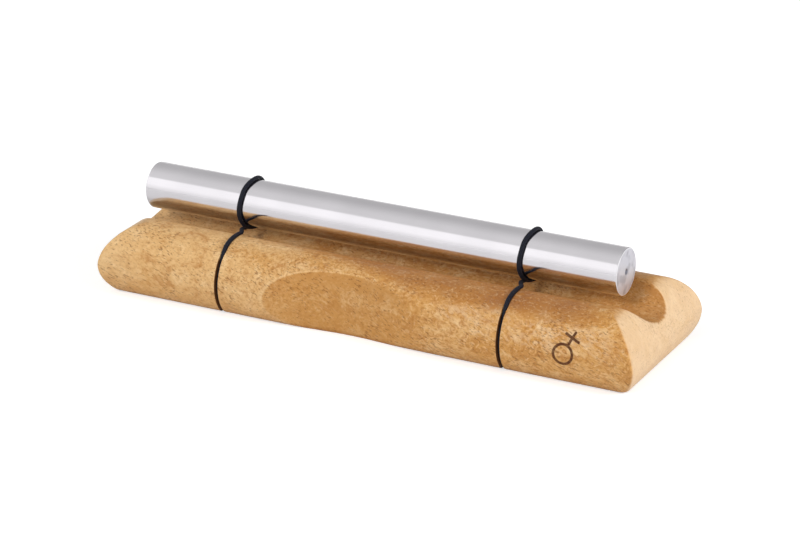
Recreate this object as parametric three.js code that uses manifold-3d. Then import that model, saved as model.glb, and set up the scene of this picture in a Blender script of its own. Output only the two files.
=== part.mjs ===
// A chime bar: a polished metal rod hung in two elastic cords over a groove in a wooden base.
// Millimetres: X runs along the rod, Y across the base, and Z up from the middle of the underside.
import * as THREE from 'three';
import { mergeVertices } from 'three/addons/utils/BufferGeometryUtils.js';
import Module from 'manifold-3d';

const wasm = await Module();
wasm.setup();

// Wooden base. Its sides and ends are turned over in one wide round and tuck in again towards the underside.
const baseLength = 248.6;
const baseWidth = 71.6;
const edgeRound = 17.3;
const widestHeight = 12.5;
const footEase = 0.8;
const hipRadius = 1;
const footCornerRadius = 3;

// Groove along the top, under the rod, and the rounded crests on both sides of it.
const grooveRadius = 15.9;
const floorGap = 8.1;
const crestRadius = 4;

// Hand scoops, one near the middle of each long side, cut by a drum with an upright axis.
const scoopShift = -5;
const scoopDepth = 4;
const scoopDrumRadius = 141;
const scoopSectionRadius = 49.5;
const scoopFullestHeight = 18;

// Saw kerfs that take the cords round the base, and their eased mouths over the crests.
const kerfSpacing = 130.8;
const kerfWidth = 1.6;
const kerfDepth = 3.4;
const kerfCornerEase = 2.2;
const seatClearance = 0.3;

// Rod.
const rodLength = 220;
const rodDiameter = 20;
const rodBevel = 0.5;
const rodHeight = 38.6;
const rodShift = -4.7;

// Elastic cords. In a kerf the cord is squeezed narrow, and elsewhere it is round.
const cordDiameter = 1.8;
const kerfSideClearance = 0.2;
const squeezedHeight = 2.1;
const cordRise = 0.5;
const rodWrapGap = 0.3;
const jointGap = 0.3;

// Fineness of the faceted surfaces.
const roundSteps = 28;
const cornerSteps = 6;
const grooveSteps = 20;
const crestSteps = 6;
const scoopSteps = 22;
const drumSegments = 360;
const rodSegments = 64;
const cordSides = 8;
const runSteps = 14;
const crestTurnSteps = 2;
const spanSteps = 7;
const turnSteps = 28;
const gapFineness = 6;

// Extra reach of the cutters beyond the wood.
const overrun = 5;

// Places that follow from the sizes above.
const halfLength = baseLength / 2;
const halfWidth = baseWidth / 2;
const baseHeight = widestHeight + edgeRound;
const sideCentre = new THREE.Vector2(halfWidth - edgeRound, widestHeight);
const grooveCentreHeight = rodHeight - rodDiameter / 2 - floorGap + grooveRadius;
const crestCentreHeight = baseHeight - crestRadius;
const crestCentreReach = Math.sqrt(
  (grooveRadius + crestRadius) ** 2 - (grooveCentreHeight - crestCentreHeight) ** 2,
);
const cordRadius = cordDiameter / 2;
const squeezedWidth = kerfWidth - 2 * kerfSideClearance;
const wrapRadius = rodDiameter / 2 + rodWrapGap + cordRadius;
const crestCentre = new THREE.Vector2(crestCentreReach, crestCentreHeight);

// Solids: a geometry goes in as positions alone, and comes back with flat faces.
function toSolid(geometry) {
  const bare = geometry.clone();
  bare.deleteAttribute('normal');
  bare.deleteAttribute('uv');
  const merged = mergeVertices(bare);
  return new wasm.Manifold(new wasm.Mesh({
    numProp: 3,
    vertProperties: new Float32Array(merged.attributes.position.array),
    triVerts: new Uint32Array(merged.index.array),
  }));
}

function toGeometry(solid) {
  const mesh = solid.getMesh();
  const geometry = new THREE.BufferGeometry();
  geometry.setAttribute('position', new THREE.BufferAttribute(new Float32Array(mesh.vertProperties), 3));
  geometry.setIndex(new THREE.BufferAttribute(new Uint32Array(mesh.triVerts), 1));
  return geometry;
}

// A closed skin over rings of points that all have the same count, with a flat lid on both ends.
function skin(rings) {
  const count = rings[0].length;
  const positions = [];
  const index = [];
  for (const ring of rings) {
    for (const point of ring) positions.push(point.x, point.y, point.z);
  }
  for (let r = 0; r < rings.length - 1; r += 1) {
    for (let i = 0; i < count; i += 1) {
      const next = (i + 1) % count;
      const [a, b] = [r * count + i, r * count + next];
      const [c, d] = [a + count, b + count];
      index.push(a, b, d, a, d, c);
    }
  }
  for (const [r, flip] of [[0, true], [rings.length - 1, false]]) {
    const middle = new THREE.Vector3();
    for (const point of rings[r]) middle.addScaledVector(point, 1 / count);
    const hub = positions.length / 3;
    positions.push(middle.x, middle.y, middle.z);
    for (let i = 0; i < count; i += 1) {
      const [a, b] = [r * count + i, r * count + ((i + 1) % count)];
      index.push(hub, ...(flip ? [b, a] : [a, b]));
    }
  }
  const geometry = new THREE.BufferGeometry();
  geometry.setAttribute('position', new THREE.Float32BufferAttribute(positions, 3));
  geometry.setIndex(index);
  return geometry;
}

// A shape drawn in Y and Z, made as long as asked along X about the place x.
function extrudeAlongX(shape, length, x = 0) {
  const geometry = new THREE.ExtrudeGeometry(shape, { depth: length, bevelEnabled: false });
  geometry.translate(0, 0, -length / 2);
  const turn = new THREE.Matrix4().set(0, 0, 1, 0, 1, 0, 0, 0, 0, 1, 0, 0, 0, 0, 0, 1);
  return geometry.applyMatrix4(turn).translate(x, 0, 0);
}

function onCircle(centre, radius, angle) {
  return new THREE.Vector2(centre.x + radius * Math.cos(angle), centre.y + radius * Math.sin(angle));
}

function smooth(value, from, to) {
  const t = THREE.MathUtils.clamp((value - from) / (to - from), 0, 1);
  return t * t * (3 - 2 * t);
}

// Angle on the rounded side, from its centre, of the point that lies at this height once the side is inset.
function footAngle(inset, height) {
  return Math.asin((height - sideCentre.y) / (edgeRound - inset));
}

// One level of the base: a rectangle with round corners, counter-clockwise seen from above.
function levelRing(reach, height) {
  const tuck = (widestHeight - height) / widestHeight;
  const radius = hipRadius + (footCornerRadius - hipRadius) * Math.max(0, tuck) ** 2;
  const inset = edgeRound - reach + radius;
  const [cornerX, cornerY] = [halfLength - inset, halfWidth - inset];
  const ring = [];
  for (const [sx, sy, start] of [[1, 1, 0], [-1, 1, 1], [-1, -1, 2], [1, -1, 3]]) {
    for (let i = 0; i <= cornerSteps; i += 1) {
      const angle = (start + i / cornerSteps) * Math.PI / 2;
      ring.push(new THREE.Vector3(
        sx * cornerX + radius * Math.cos(angle), sy * cornerY + radius * Math.sin(angle), height,
      ));
    }
  }
  return ring;
}

function makeBlock() {
  const rings = [];
  const start = footAngle(0, footEase);
  const footReach = edgeRound * Math.cos(start);
  rings.push(levelRing(footReach - footEase, 0));
  for (let i = 0; i <= roundSteps; i += 1) {
    const angle = THREE.MathUtils.lerp(start, Math.PI / 2, i / roundSteps);
    rings.push(levelRing(edgeRound * Math.cos(angle), widestHeight + edgeRound * Math.sin(angle)));
  }
  return toSolid(skin(rings));
}

// The groove is round at the bottom, and both its edges roll over the crests on to the flat top.
function makeGrooveCutter() {
  const shape = new THREE.Shape();
  const crestAngle = Math.atan2(crestCentreReach, grooveCentreHeight - crestCentreHeight);
  const points = [new THREE.Vector2(crestCentreReach, baseHeight + overrun)];
  for (let i = 0; i <= crestSteps; i += 1) {
    const angle = Math.PI / 2 + crestAngle * i / crestSteps;
    points.push(onCircle(crestCentre, crestRadius, angle));
  }
  for (let i = 1; i < grooveSteps; i += 1) {
    const angle = -Math.PI / 2 + crestAngle * (1 - 2 * i / grooveSteps);
    points.push(onCircle(new THREE.Vector2(0, grooveCentreHeight), grooveRadius, angle));
  }
  const mirrored = points.slice(0, crestSteps + 2).map((p) => new THREE.Vector2(-p.x, p.y)).reverse();
  shape.setFromPoints([...points, ...mirrored].reverse());
  return toSolid(extrudeAlongX(shape, baseLength + overrun));
}

function makeScoopCutter(side) {
  const profile = [new THREE.Vector2(0, -overrun)];
  for (let i = 0; i <= scoopSteps; i += 1) {
    const height = THREE.MathUtils.lerp(-overrun, baseHeight + overrun, i / scoopSteps);
    const across = height - scoopFullestHeight;
    const fall = scoopSectionRadius - Math.sqrt(scoopSectionRadius ** 2 - across ** 2);
    profile.push(new THREE.Vector2(scoopDrumRadius + fall, height));
  }
  profile.push(new THREE.Vector2(0, baseHeight + overrun));
  const drum = new THREE.LatheGeometry(profile, drumSegments).rotateX(Math.PI / 2);
  const axis = halfWidth - scoopDepth + scoopDrumRadius;
  return toSolid(drum.translate(scoopShift, side * axis, 0));
}

// Angles on the rounded side between which a kerf grows shallow and the cord climbs out of it.
const kerfShallowAngle = THREE.MathUtils.degToRad(34);
const kerfEndAngle = THREE.MathUtils.degToRad(66);

// A kerf is a thin frame round the base. Its opening is the wood left inside, smaller by the kerf's depth all
// round, with the lower corners eased.
function makeKerfCutter(x) {
  const frame = [
    new THREE.Vector2(-halfWidth - overrun, -overrun), new THREE.Vector2(halfWidth + overrun, -overrun),
    new THREE.Vector2(halfWidth + overrun, baseHeight + overrun),
    new THREE.Vector2(-halfWidth - overrun, baseHeight + overrun),
  ];
  const corner = footAngle(kerfDepth, kerfDepth);
  const start = corner + kerfCornerEase / (edgeRound - kerfDepth);
  const cornerReach = onCircle(sideCentre, edgeRound - kerfDepth, corner).x;
  const core = [new THREE.Vector2(cornerReach - kerfCornerEase, kerfDepth)];
  for (let i = 0; i <= runSteps; i += 1) {
    const angle = THREE.MathUtils.lerp(start, kerfEndAngle, i / runSteps);
    const depth = THREE.MathUtils.lerp(kerfDepth, -cordRise, smooth(angle, kerfShallowAngle, kerfEndAngle));
    core.push(onCircle(sideCentre, edgeRound - depth, angle));
  }
  core.push(new THREE.Vector2(core[core.length - 1].x, baseHeight + cordDiameter));
  const whole = [...core, ...core.map((p) => new THREE.Vector2(-p.x, p.y)).reverse()];
  const shape = new THREE.Shape(frame);
  shape.holes.push(new THREE.Path(whole));
  return toSolid(extrudeAlongX(shape, kerfWidth, x));
}

// Slope of the cord's straight stretch, which touches a round of the wood from above and the rod from below.
function slopeFrom(centre, radius) {
  const rise = rodHeight - centre.y;
  return Math.atan2(rise, centre.x) - Math.asin((radius + wrapRadius) / Math.hypot(rise, centre.x));
}

// The cord comes up the rounded side and passes over the crest. Where the rod hangs so high that the straight
// stretch rises to it, the cord leaves the rounded side itself.
const crestPathRadius = crestRadius + cordRise;
const sidePathRadius = edgeRound + cordRise;
const overCrest = slopeFrom(crestCentre, crestPathRadius) < 0;
const spanSlope = overCrest ? slopeFrom(crestCentre, crestPathRadius) : slopeFrom(sideCentre, sidePathRadius);
const toCrest = Math.atan2(crestCentre.y - sideCentre.y, crestCentre.x - sideCentre.x);
const sideLeave = overCrest ? Math.min(Math.PI / 2, 2 * toCrest - Math.PI / 2) : Math.PI / 2 - spanSlope;
const woodLeave = overCrest
  ? onCircle(crestCentre, crestPathRadius, Math.PI / 2 - spanSlope)
  : onCircle(sideCentre, sidePathRadius, sideLeave);
const rodMeet = new THREE.Vector2(
  -wrapRadius * Math.sin(spanSlope),
  rodHeight - wrapRadius * Math.cos(spanSlope),
);

// Shares of the half width of the underside at which the cord's run has a ring.
const underShares = [0, 1 / 3, 2 / 3, 7 / 8];

// Half of the cord's way round the base, from the middle of the underside to where it leaves the crest.
function runHalf() {
  const depth = kerfDepth - kerfSideClearance - squeezedHeight / 2;
  const start = footAngle(depth, depth);
  const corner = onCircle(sideCentre, edgeRound - depth, start);
  const half = [];
  for (const share of underShares) half.push({ y: corner.x * share, z: depth, free: 0 });
  const path = 2 * runSteps;
  for (let i = 1; i <= path; i += 1) {
    const angle = THREE.MathUtils.lerp(start, sideLeave, i / path);
    const free = smooth(angle, kerfShallowAngle, kerfEndAngle);
    const point = onCircle(sideCentre, edgeRound + THREE.MathUtils.lerp(-depth, cordRise, free), angle);
    half.push({ y: point.x, z: point.y, free });
  }
  for (let i = 0; overCrest && i < crestTurnSteps; i += 1) {
    const angle = THREE.MathUtils.lerp(sideLeave, Math.PI / 2 - spanSlope, i / crestTurnSteps);
    const point = onCircle(crestCentre, crestPathRadius, angle);
    half.push({ y: point.x, z: point.y, free: 1 });
  }
  const along = jointGap / 2;
  half.push({
    y: woodLeave.x + along * Math.cos(spanSlope), z: woodLeave.y - along * Math.sin(spanSlope), free: 1,
  });
  return half;
}

// A tube along points: each ring stands square to the path, and its width lies along X where the path allows.
function sweptTube(path) {
  const rings = [];
  let side = new THREE.Vector3(1, 0, 0);
  path.forEach(({ point, width, height }, i) => {
    const before = path[Math.max(0, i - 1)].point;
    const after = path[Math.min(path.length - 1, i + 1)].point;
    const ahead = new THREE.Vector3().subVectors(after, before).normalize();
    side = side.clone().addScaledVector(ahead, -side.dot(ahead)).normalize();
    const up = new THREE.Vector3().crossVectors(ahead, side);
    const ring = [];
    for (let k = 0; k < cordSides; k += 1) {
      const angle = (k + 0.5) * 2 * Math.PI / cordSides;
      ring.push(point.clone()
        .addScaledVector(side, width / 2 * Math.cos(angle))
        .addScaledVector(up, height / 2 * Math.sin(angle)));
    }
    rings.push(ring);
  });
  return skin(rings);
}

function makeCordRun(x) {
  const half = runHalf();
  const whole = [...half.map((p) => ({ ...p, y: -p.y })).reverse(), ...half.slice(1)];
  return sweptTube(whole.map(({ y, z, free }) => ({
    point: new THREE.Vector3(x, y, z),
    width: THREE.MathUtils.lerp(squeezedWidth, cordDiameter, free),
    height: THREE.MathUtils.lerp(squeezedHeight, cordDiameter, free),
  })));
}

// The eased mouth of a kerf over one crest follows the cord with the seat's clearance all round.
function makeSeatCutter(x, side) {
  const half = runHalf().filter(({ free }) => free > 0);
  const last = half[half.length - 1];
  half.push({
    y: last.y - overrun * Math.cos(spanSlope), z: last.z + overrun * Math.sin(spanSlope), free: 1,
  });
  const spread = 2 * seatClearance;
  const overFlats = 1 / Math.cos(Math.PI / cordSides);
  return toSolid(sweptTube(half.map(({ y, z, free }) => ({
    point: new THREE.Vector3(x, side * y, z),
    width: overFlats * (THREE.MathUtils.lerp(squeezedWidth, cordDiameter, free) + spread),
    height: overFlats * (THREE.MathUtils.lerp(squeezedHeight, cordDiameter, free) + spread),
  }))));
}

// Pairs of a share of the way and the cord's lean along X there in cord diameters, over the front stretch,
// round the rod, and over the back stretch. The cord starts in the kerf's plane, passes under the rod beside
// itself and returns.
const frontLeanShares = [[0, 0], [0.1, 0], [0.66, -1.8], [1, -1.8]];
const turnLeanShares = [[0, -1.8], [0.16, -1.8], [0.5, -0.4], [0.72, -0.75], [0.88, -0.45], [1, -0.45]];
const backLeanShares = [[0, -0.45], [0.84, 0], [1, 0]];

function leanAt(table, share) {
  let i = 0;
  while (i < table.length - 2 && share > table[i + 1][0]) i += 1;
  const [[from, a], [to, b]] = [table[i], table[i + 1]];
  return cordDiameter * THREE.MathUtils.lerp(a, b, smooth(share, from, to));
}

// The cord's way from the front crest under the rod, once round it, and under it again to the back crest.
function loopPath(x, fineness = 1) {
  const points = [];
  const along = jointGap / 2;
  const start = {
    y: -woodLeave.x + along * Math.cos(spanSlope), z: woodLeave.y + along * Math.sin(spanSlope),
  };
  const spans = spanSteps * fineness;
  const turns = turnSteps * fineness;
  for (let i = 0; i < spans; i += 1) {
    const share = i / spans;
    points.push(new THREE.Vector3(
      x + leanAt(frontLeanShares, share),
      THREE.MathUtils.lerp(start.y, -rodMeet.x, share),
      THREE.MathUtils.lerp(start.z, rodMeet.y, share),
    ));
  }
  for (let i = 0; i <= turns; i += 1) {
    const share = i / turns;
    const angle = THREE.MathUtils.lerp(-spanSlope, spanSlope - 2 * Math.PI, share);
    points.push(new THREE.Vector3(
      x + leanAt(turnLeanShares, share),
      -wrapRadius * Math.sin(angle),
      rodHeight - wrapRadius * Math.cos(angle),
    ));
  }
  for (let i = 1; i <= spans; i += 1) {
    const share = i / spans;
    points.push(new THREE.Vector3(
      x + leanAt(backLeanShares, share),
      THREE.MathUtils.lerp(rodMeet.x, -start.y, share),
      THREE.MathUtils.lerp(rodMeet.y, start.z, share),
    ));
  }
  return points;
}

function makeCordLoop(x) {
  return sweptTube(loopPath(x).map((point) => ({ point, width: cordDiameter, height: cordDiameter })));
}

// Least gap of the loop to itself, between points that lie far enough from each other along the cord.
function leastGap(points) {
  const farAlong = 3 * cordDiameter;
  let way = 0;
  const ways = points.map((point, i) => {
    way += i ? point.distanceTo(points[i - 1]) : 0;
    return way;
  });
  let least = Infinity;
  points.forEach((point, i) => {
    for (let k = i + 1; k < points.length; k += 1) {
      if (ways[k] - ways[i] > farAlong) least = Math.min(least, point.distanceTo(points[k]));
    }
  });
  return least - cordDiameter;
}

function makeBase() {
  let block = makeBlock().subtract(makeGrooveCutter());
  for (const side of [-1, 1]) block = block.subtract(makeScoopCutter(side));
  for (const side of [-1, 1]) {
    const x = side * kerfSpacing / 2;
    block = block.subtract(makeKerfCutter(x));
    for (const crest of [-1, 1]) block = block.subtract(makeSeatCutter(x, crest));
  }
  return toGeometry(block);
}

function makeRod() {
  const [radius, reach] = [rodDiameter / 2, rodLength / 2];
  const profile = [
    [0, -reach], [radius - rodBevel, -reach], [radius, rodBevel - reach],
    [radius, reach - rodBevel], [radius - rodBevel, reach], [0, reach],
  ].map(([r, h]) => new THREE.Vector2(r, h));
  const lathe = new THREE.LatheGeometry(profile, rodSegments);
  return lathe.rotateZ(-Math.PI / 2).translate(rodShift, 0, rodHeight);
}

const wood = new THREE.MeshStandardMaterial({ color: 0xd2a468, roughness: 0.5, metalness: 0 });
const polishedMetal = new THREE.MeshStandardMaterial({ color: 0xd4d4d8, roughness: 0.12, metalness: 1 });
const elastic = new THREE.MeshStandardMaterial({ color: 0x1b1d24, roughness: 0.8, metalness: 0 });

const chimeBar = new THREE.Group();

function addPart(name, geometry, material) {
  const mesh = new THREE.Mesh(geometry, material);
  mesh.name = name;
  chimeBar.add(mesh);
}

addPart('wooden_base', makeBase(), wood);
addPart('chime_rod', makeRod(), polishedMetal);
for (const [name, side] of [['left', -1], ['right', 1]]) {
  const x = side * kerfSpacing / 2;
  addPart(`${name}_cord_run`, makeCordRun(x), elastic);
  addPart(`${name}_cord_loop`, makeCordLoop(x), elastic);
  const gap = leastGap(loopPath(x, gapFineness));
  console.log(`${name} cord: least gap of the loop to itself ${gap.toFixed(2)} mm`);
}

export default chimeBar;
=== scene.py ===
import math
import bpy
import numpy as np
from mathutils import Matrix, Vector


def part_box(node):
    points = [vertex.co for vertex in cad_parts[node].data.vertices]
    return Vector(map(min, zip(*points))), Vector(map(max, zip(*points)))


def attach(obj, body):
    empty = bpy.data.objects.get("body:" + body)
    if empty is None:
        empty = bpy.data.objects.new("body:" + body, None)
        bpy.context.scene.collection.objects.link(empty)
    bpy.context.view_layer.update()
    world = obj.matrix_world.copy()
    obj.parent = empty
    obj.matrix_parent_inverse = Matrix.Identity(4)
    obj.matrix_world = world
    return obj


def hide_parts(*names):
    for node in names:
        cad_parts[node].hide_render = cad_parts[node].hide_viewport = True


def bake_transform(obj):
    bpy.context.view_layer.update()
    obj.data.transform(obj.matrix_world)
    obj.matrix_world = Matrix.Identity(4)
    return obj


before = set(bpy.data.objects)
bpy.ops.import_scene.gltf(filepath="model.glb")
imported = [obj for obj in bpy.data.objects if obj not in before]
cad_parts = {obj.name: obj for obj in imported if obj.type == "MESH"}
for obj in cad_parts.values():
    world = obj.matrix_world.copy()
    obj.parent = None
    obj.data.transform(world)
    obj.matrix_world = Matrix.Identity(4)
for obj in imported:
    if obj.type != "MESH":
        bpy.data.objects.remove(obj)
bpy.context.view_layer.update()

mm = 0.001  # the shapes below are worked out in millimetres


def newObject(name, data):
    made = bpy.data.objects.new(name, data)
    bpy.context.scene.collection.objects.link(made)
    return made


# Camera

camera = {
    "azimuth": 27.752,  # degrees to the right of the front
    "elevation": 22.362,
    "roll": -0.43,
    "distance": 1298.8,
    "target": (9.42, -12.47, 27.82),
    "focalPixels": 3153.7,
    "imageWidth": 800,
    "sensorWidth": 36.0,
    "clip": (0.05, 50),
}


def makeCamera():
    # The camera looks at the target from the given angles and distance, turned a little about its line
    # of sight.
    a = math.radians(camera["azimuth"])
    e = math.radians(camera["elevation"])
    back = Vector((math.sin(a) * math.cos(e), -math.cos(a) * math.cos(e), math.sin(e)))
    data = bpy.data.cameras.new("camera")
    data.sensor_width = camera["sensorWidth"]
    data.lens = camera["focalPixels"] * camera["sensorWidth"] / camera["imageWidth"]
    data.clip_start, data.clip_end = camera["clip"]
    view = newObject("camera", data)
    view.location = (Vector(camera["target"]) + back * camera["distance"]) * mm
    right = Vector((math.cos(a), math.sin(a), 0))
    up = back.cross(right)
    roll = math.radians(camera["roll"])
    rolledRight = right * math.cos(roll) + up * math.sin(roll)
    rolledUp = up * math.cos(roll) - right * math.sin(roll)
    view.rotation_euler = Matrix((rolledRight, rolledUp, back)).transposed().to_euler()
    bpy.context.scene.camera = view


makeCamera()
print("camera placed")


# Helpers for meshes

sharpAngle = 38  # degrees between two faces from which their edge stays sharp


def smoothStep(value, low, high):
    # 0 below low, 1 above high, and the cubic 3 t^2 - 2 t^3 between them.
    t = np.clip((value - low) / (high - low), 0, 1)
    return t * t * (3 - 2 * t)


def smoothMax(a, b, radius):
    # The larger of two fields. Where they differ by less than radius, the edge between them becomes a
    # quarter circle of that radius: (a + b) / 2 + radius - sqrt(2 radius^2 - (a - b)^2) / 2.
    gap = np.clip(a - b, -radius, radius)
    rounded = (a + b) / 2 + radius - np.sqrt(2 * radius * radius - gap * gap) / 2
    return np.where(np.abs(a - b) >= radius, np.maximum(a, b), rounded)


def circleAngles(count):
    # Even angles once round a circle.
    return np.linspace(0, 2 * math.pi, count, endpoint=False)


def meshFromRings(name, rings, material, body=None, attributes=None, uv=None, lids=(True, True)):
    # Rings of points (ring, place on the ring, xyz) in millimetres become a closed skin: quads between
    # neighbouring rings, and a fan of triangles from a middle point over each end. Attributes hold a value
    # for each point, and uv holds the places along the rings and round them.
    count, around = rings.shape[:2]
    points = rings.reshape(-1, 3)
    i = np.arange(count - 1)[:, None] * around
    j = np.arange(around)[None, :]
    k = (j + 1) % around
    quads = np.stack([i + j, i + k, i + around + k, i + around + j], -1).reshape(-1, 4)
    faces = quads.tolist()
    for lid, start, turned in zip(lids, (0, (count - 1) * around), ((k, j), (j, k))):
        if lid:
            middle = np.full(around, len(points))
            faces += np.stack([middle, turned[0][0] + start, turned[1][0] + start], -1).tolist()
            points = np.concatenate([points, points[start:start + around].mean(0)[None]])
    mesh = bpy.data.meshes.new(name)
    mesh.from_pydata((points * mm).tolist(), [], faces)
    for key, values in (attributes or {}).items():
        whole = np.zeros(len(points), np.float32)
        whole[:values.size] = values.ravel()
        mesh.attributes.new(key, "FLOAT", "POINT").data.foreach_set("value", whole)
    if uv is not None:
        layer = mesh.uv_layers.new(name="UVMap")
        along, turn = uv
        corners = np.zeros((len(mesh.loops), 2), np.float32)
        u = np.stack([along[:-1], along[:-1], along[1:], along[1:]], -1)[:, None, :].repeat(around, 1)
        v = np.stack([turn[:-1], turn[1:], turn[1:], turn[:-1]], -1)[None, :, :].repeat(count - 1, 0)
        corners[:u.size, 0] = u.ravel()
        corners[:v.size, 1] = v.ravel()
        layer.data.foreach_set("uv", corners.ravel())
    mesh.update()
    mesh.shade_smooth()
    mesh.set_sharp_from_angle(angle=math.radians(sharpAngle))
    mesh.materials.append(material)
    piece = newObject(name, mesh)
    if body:
        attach(piece, body)
    return piece


# Helpers for materials

class Nodes:
    # A short way to write node trees: each call adds a node, fills its inputs with values or links, and
    # gives its output. A kind of node is named without the word ShaderNode before it.
    def __init__(self, tree):
        self.tree = tree

    def add(self, kind, inputs=(), output=0, **settings):
        made = self.tree.nodes.new("ShaderNode" + kind)
        for key, value in settings.items():
            setattr(made, key, value)
        self.fill(made, inputs)
        return made.outputs[output]

    def fill(self, node, inputs):
        for key, value in dict(inputs).items():
            if isinstance(value, bpy.types.NodeSocket):
                self.tree.links.new(value, node.inputs[key])
            else:
                node.inputs[key].default_value = value

    def math(self, operation, *values, clamp=False):
        return self.add("Math", enumerate(values), operation=operation, use_clamp=clamp)

    def plus(self, a, b):
        return self.math("ADD", a, b)

    def minus(self, a, b):
        return self.math("SUBTRACT", a, b)

    def times(self, first, *others):
        for other in others:
            first = self.math("MULTIPLY", first, other)
        return first

    def absolute(self, value):
        return self.math("ABSOLUTE", value)

    def distance(self, a, b):
        # The square root of a^2 + b^2.
        return self.math("SQRT", self.plus(self.times(a, a), self.times(b, b)))

    def mix(self, share, a, b):
        return self.add("Mix", {0: share, 6: a, 7: b}, output=2, data_type="RGBA")

    def step(self, value, low, high, toLow=0.0, toHigh=1.0):
        inputs = {0: value, 1: low, 2: high, 3: toLow, 4: toHigh}
        return self.add("MapRange", inputs, interpolation_type="SMOOTHSTEP")

    def noise(self, vector, scale, detail=2.0, roughness=0.5, distortion=0.0):
        inputs = {"Vector": vector, "Scale": scale, "Detail": detail, "Roughness": roughness,
                  "Distortion": distortion}
        return self.add("TexNoise", inputs)

    def stretched(self, vector, scale):
        return self.add("Mapping", {"Vector": vector, "Scale": scale})

    def parts(self, vector):
        # The X, Y and Z of a vector.
        split = self.tree.nodes.new("ShaderNodeSeparateXYZ")
        self.fill(split, {0: vector})
        return split.outputs

    def objectPlace(self):
        return self.add("TexCoord", output="Object")

    def attribute(self, name):
        return self.add("Attribute", output="Fac", attribute_name=name)

    def bump(self, height, strength, depth):
        return self.add("Bump", {"Strength": strength, "Distance": depth * mm, "Height": height})

    def mirrored(self, path):
        # 1 for what the camera sees in metal or through glass, and 0 otherwise.
        rays = (path.outputs["Is Glossy Ray"], path.outputs["Is Transmission Ray"])
        return self.math("ADD", *rays, clamp=True)


def colour(red, green, blue):
    # A colour written as it looks on a screen, 0 to 255, as the linear values that the shader takes.
    shares = np.array([red, green, blue]) / 255
    linear = np.where(shares <= 0.04045, shares / 12.92, ((shares + 0.055) / 1.055) ** 2.4)
    return (*[float(x) for x in linear], 1.0)


def emptyMaterial(name):
    # A material with nothing but its output.
    material = bpy.data.materials.new(name)
    material.use_nodes = True
    n = Nodes(material.node_tree)
    n.tree.nodes.clear()
    return material, n, n.tree.nodes.new("ShaderNodeOutputMaterial")


def newMaterial(name):
    # A material with one shader that is linked to its output.
    material, n, output = emptyMaterial(name)
    shader = n.tree.nodes.new("ShaderNodeBsdfPrincipled")
    n.fill(output, {0: shader.outputs[0]})
    return material, n, shader


# Wood

wood = {
    "pale": (233, 198, 148),
    "light": (219, 177, 121),
    "golden": (205, 152, 85),
    "deep": (176, 117, 57),
    "crestStreak": (150, 96, 54),  # a darker streak along the crests, right of the middle
    # painted shade inside the groove
    "groove": (172, 116, 62),
    # painted shade: the scoops' darker, more golden tone
    "scoop": (186, 134, 74),
    "sheen": (236, 208, 170),  # painted highlight: a pale sheen on the right half of the sides
    "pore": (122, 76, 38),
    "endTone": (244, 214, 176),
    "endShare": 0.72,  # how far the ends take their paler tone, partly their end grain and partly a painted highlight
    "burn": (84, 48, 28),
    "kerfShade": (112, 74, 44),  # painted shade on the walls of the kerfs
    "kerfShadeEdge": (0.16, 0.03),  # millimetres past the wall over which that tone fades
    "charRoughness": 0.25,  # which the burnt sign adds
    "reflection": 0.2,
    "bump": (0.5, 0.12),  # strength, and depth in millimetres
    "streakRelief": 0.12,
    "fleckRelief": 0.5,
    "burnRelief": 2.2,
    "drift": (0.012, 0.010, 0.010),  # how far the patterns wander off their lines
    "driftScale": 16.0,
    "fleckDip": -0.38,  # radians by which flecks and speckle slope down along the block
    "fleckContrast": 9.0,
    "scoopShade": 0.16,
    "scoopEdgeLine": 0.45,  # where in the scoop's edge its pale line, a painted highlight, lies
}

# Patterns: the stretch along the grain, and the noise's scale, detail, roughness and distortion.
wood["patterns"] = {
    "clouds": (0.6, 42.0, 3.0, 0.6, 0.4),
    "mottle": (0.7, 150.0, 4.0, 0.65, 0.6),
    "curls": (0.9, 420.0, 3.0, 0.6, 1.6),
    "streaks": (0.10, 260.0, 4.0, 0.6, 0.0),
    "flecks": (0.30, 1700.0, 2.0, 0.5, 0.0),
    "speckle": (0.6, 900.0, 2.0, 0.6, 0.0),
    "sheen": (0.5, 380.0, 4.0, 0.7, 1.0),
    "patches": (1.0, 70.0, 2.0, 0.6, 0.0),
    "endClouds": (1.0, 95.0, 4.0, 0.65, 0.8),
    "char": (1.0, 900.0, 2.0, 0.5, 0.0),
}

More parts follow.
